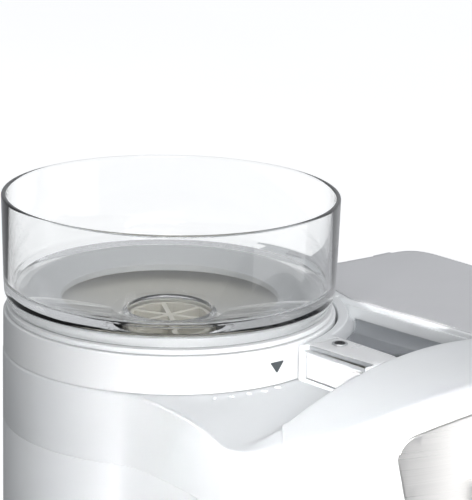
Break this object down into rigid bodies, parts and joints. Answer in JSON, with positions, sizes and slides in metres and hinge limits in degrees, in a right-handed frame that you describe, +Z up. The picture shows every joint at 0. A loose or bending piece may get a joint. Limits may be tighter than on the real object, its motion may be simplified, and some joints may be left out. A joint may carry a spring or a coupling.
{
  "type": "burr coffee grinder",
  "caption": "White burr coffee grinder: clear bean hopper on a grind-setting ring, arched head with steel panel, bay with ground-coffee container.",
  "frame": {"origin": "middle of the overall footprint, on the surface that the grinder stands on", "axes": "+Z up, -Y out of the front (container, knob), +X to the user's right when facing the front"},
  "size_m": [0.2214, 0.241, 0.3],
  "materials": {
    "white_shell": "satin moulded ABS with a fine polish",
    "white_ring": "satin moulded ABS",
    "clear_hopper": "clear moulded SAN, polished",
    "frosted_clear": "frosted translucent moulding",
    "smoked_clear": "smoked transparent moulding",
    "lid_grey": "satin light grey moulding",
    "brushed_steel": "brushed stainless sheet",
    "burr_steel": "ground tool steel",
    "zinc_steel": "zinc-plated steel",
    "brass": "machined brass",
    "slate_plastic": "fine-textured moulding",
    "black_plastic": "fine-textured moulding",
    "nylon": "natural nylon",
    "rubber": "matt rubber",
    "circuit_board": "fibreglass board"
  },
  "bodies": {
    "casing": {"upper_cover": "white_shell", "chute_cover": "frosted_clear", "chute_screw": "black_plastic", "chute_washer": "zinc_steel", "smoked_window": "smoked_clear", "lid_hinge_pin": "zinc_steel", "storage_tray": "white_shell", "front_head": "white_shell", "steel_panel": "brushed_steel", "dose_selector": "black_plastic", "button_spring": "zinc_steel", "button_switch": "black_plastic", "control_board": "circuit_board", "lower_housing": "white_shell", "base_plate": "white_shell", "foot_front_left": "rubber", "foot_front_right": "rubber", "foot_rear_right": "rubber", "foot_rear_left": "rubber", "base_screw_1": "zinc_steel", "base_screw_2": "zinc_steel", "base_screw_3": "zinc_steel", "base_screw_4": "zinc_steel", "burr_chamber": "nylon", "chamber_gasket": "rubber", "chute_duct": "nylon", "outlet_spout": "slate_plastic", "shaft_seal": "rubber", "upper_bearing": "zinc_steel", "lower_bearing": "zinc_steel", "motor_can": "zinc_steel", "gear_plate": "zinc_steel", "gearbox_cover": "zinc_steel", "power_board": "circuit_board", "power_inlet": "black_plastic", "inlet_pin_left": "brass", "inlet_pin_right": "brass", "switch_frame": "black_plastic"},
    "hopper": {"hopper_bowl": "clear_hopper", "hopper_base": "white_ring", "finger_guard": "nylon"},
    "dial": {"dial_ring": "white_ring", "dial_marker": "slate_plastic"},
    "carrier": {"burr_carrier": "nylon", "ring_burr": "burr_steel"},
    "burr_drive": {"cone_burr": "burr_steel", "sweeper": "slate_plastic", "burr_shaft": "zinc_steel", "burr_nut": "zinc_steel", "drive_gear": "nylon"},
    "motor_rotor": {"motor_shaft": "zinc_steel", "motor_pinion": "brass"},
    "lid": {"storage_lid": "lid_grey"},
    "door": {"chute_door": "frosted_clear"},
    "container": {"grounds_container": "smoked_clear", "container_lid": "slate_plastic"},
    "button": {"start_button": "white_ring"},
    "knob": {"dose_knob": "brushed_steel"},
    "rocker": {"power_rocker": "black_plastic"}
  },
  "joints": [
    {"name": "hopper_lift", "type": "slide", "parent": "casing", "child": "hopper", "axis": [0, 0, 1], "range_m": [0, 0.09]},
    {"name": "dial_turn", "type": "hinge", "parent": "casing", "child": "dial", "pos_m": [-0.04075, 0.0505, 0.24], "axis": [0, 0, 1], "range_deg": [-24, 0]},
    {"name": "carrier_travel", "type": "slide", "parent": "casing", "child": "carrier", "axis": [0, 0, 1], "range_m": [-0.00085, 0.00005]},
    {"name": "burr_spin", "type": "hinge", "parent": "casing", "child": "burr_drive", "pos_m": [-0.04075, 0.0505, 0.17], "axis": [0, 0, 1], "continuous": true},
    {"name": "motor_spin", "type": "hinge", "parent": "casing", "child": "motor_rotor", "pos_m": [0.00425, 0.0505, 0.17], "axis": [0, 0, 1], "continuous": true},
    {"name": "lid_swing", "type": "hinge", "parent": "casing", "child": "lid", "pos_m": [0.07125, 0.0617, 0.2462], "axis": [1, 0, 0], "range_deg": [-100, 0]},
    {"name": "door_swing", "type": "hinge", "parent": "casing", "child": "door", "pos_m": [-0.02995, -0.0395, 0.2464], "axis": [0, 1, 0], "range_deg": [0, 70]},
    {"name": "container_slide", "type": "slide", "parent": "casing", "child": "container", "axis": [0, -1, 0], "range_m": [0, 0.11]},
    {"name": "start_push", "type": "slide", "parent": "casing", "child": "button", "axis": [0, 1, 0], "range_m": [0, 0.0025], "stiffness_N_per_m": 300, "deforming": ["button_spring"]},
    {"name": "dose_turn", "type": "hinge", "parent": "casing", "child": "knob", "pos_m": [0.00425, -0.1075, 0.205], "axis": [0, -1, 0], "range_deg": [0, 270]},
    {"name": "rocker_press", "type": "hinge", "parent": "casing", "child": "rocker", "pos_m": [0.03425, 0.1145, 0.042], "axis": [1, 0, 0], "range_deg": [0, 12]}
  ],
  "couplings": [
    {"joint": "carrier_travel", "follows": "dial_turn", "m_per_rad": 0.0019099},
    {"joint": "motor_spin", "follows": "burr_spin", "ratio": -4}
  ]
}
